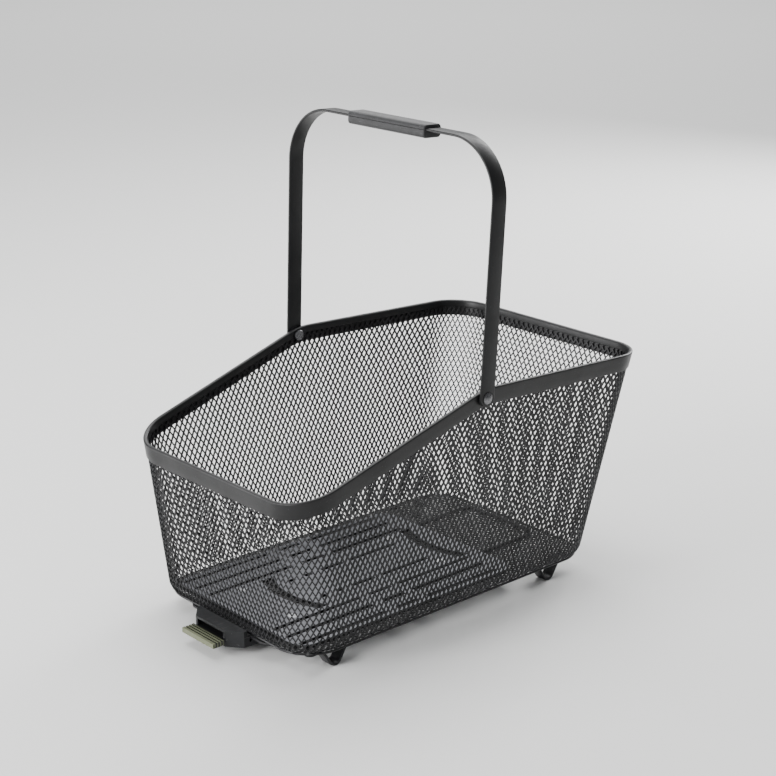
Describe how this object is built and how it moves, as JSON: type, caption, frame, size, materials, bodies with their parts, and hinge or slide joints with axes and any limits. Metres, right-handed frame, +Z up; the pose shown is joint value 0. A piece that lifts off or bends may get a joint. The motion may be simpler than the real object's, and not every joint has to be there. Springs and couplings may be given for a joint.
{
  "type": "rear carrier basket",
  "caption": "Expanded-metal basket for a bicycle's rear carrier, with a folding carrying handle, wire-loop feet and a quick-release adapter whose lever draws back a spring-loaded bolt",
  "frame": {"origin": "the middle of the bounding box seen from above, at the bottom of the four feet", "axes": "+X towards the rear of the bicycle, the basket's higher end; +Y towards the bicycle's left; +Z up"},
  "size_m": [0.4334, 0.2684, 0.4387],
  "materials": {
    "black_steel": "satin black powder coat",
    "mesh_steel": "satin black powder coat on expanded metal",
    "grey_plastic": "fine-grained moulded plastic, dark grey",
    "cover_plastic": "smooth moulded plastic, grey",
    "lever_plastic": "smooth moulded plastic, pale green-grey",
    "grip_plastic": "smooth moulded plastic, near-black",
    "soft_rubber": "moulded rubber, matt black",
    "nylon": "moulded nylon, black",
    "rivet_steel": "blackened steel worn bright",
    "zinc_steel": "zinc plated"
  },
  "bodies": {
    "basket": {"rim_band": "black_steel", "mesh_wall": "mesh_steel", "mesh_floor": "mesh_steel", "edge_wire": "black_steel", "loop_wire": "black_steel", "foot_front_left": "black_steel", "foot_front_right": "black_steel", "foot_rear_left": "black_steel", "foot_rear_right": "black_steel", "adapter_plate": "grey_plastic", "adapter_base": "grey_plastic", "adapter_screws": "zinc_steel", "adapter_nuts": "zinc_steel", "rack_pads": "soft_rubber", "rear_claw_left": "grey_plastic", "rear_claw_right": "grey_plastic", "claw_screws": "zinc_steel", "bolt_guide": "black_steel", "guide_screws": "zinc_steel", "latch_cover": "cover_plastic", "cover_screws": "zinc_steel", "lever_pin": "zinc_steel", "lever_spring": "zinc_steel", "pivot_rivets": "rivet_steel", "pivot_washers": "nylon"},
    "handle": {"handle_bail": "black_steel", "grip_upper": "grip_plastic", "grip_lower": "grip_plastic", "grip_screws": "zinc_steel"},
    "lever": {"latch_lever": "lever_plastic"},
    "bolt": {"latch_bolt": "zinc_steel"}
  },
  "joints": [
    {"name": "handle_fold", "type": "hinge", "parent": "basket", "child": "handle", "pos_m": [0.0001, 0, 0.2153], "axis": [0, 1, 0], "range_deg": [-103, 83.5]},
    {"name": "lever_lift", "type": "hinge", "parent": "basket", "child": "lever", "pos_m": [-0.1849, 0, 0.0129], "axis": [0, 1, 0], "range_deg": [0, 14], "stiffness_Nm_per_rad": 0.25, "springref_deg": -14.32, "deforming": ["lever_spring"]},
    {"name": "bolt_slide", "type": "slide", "parent": "basket", "child": "bolt", "axis": [-1, 0, 0], "range_m": [0, 0.0055]}
  ],
  "couplings": [
    {"joint": "bolt_slide", "follows": "lever_lift", "m_per_rad": 0.0221}
  ]
}
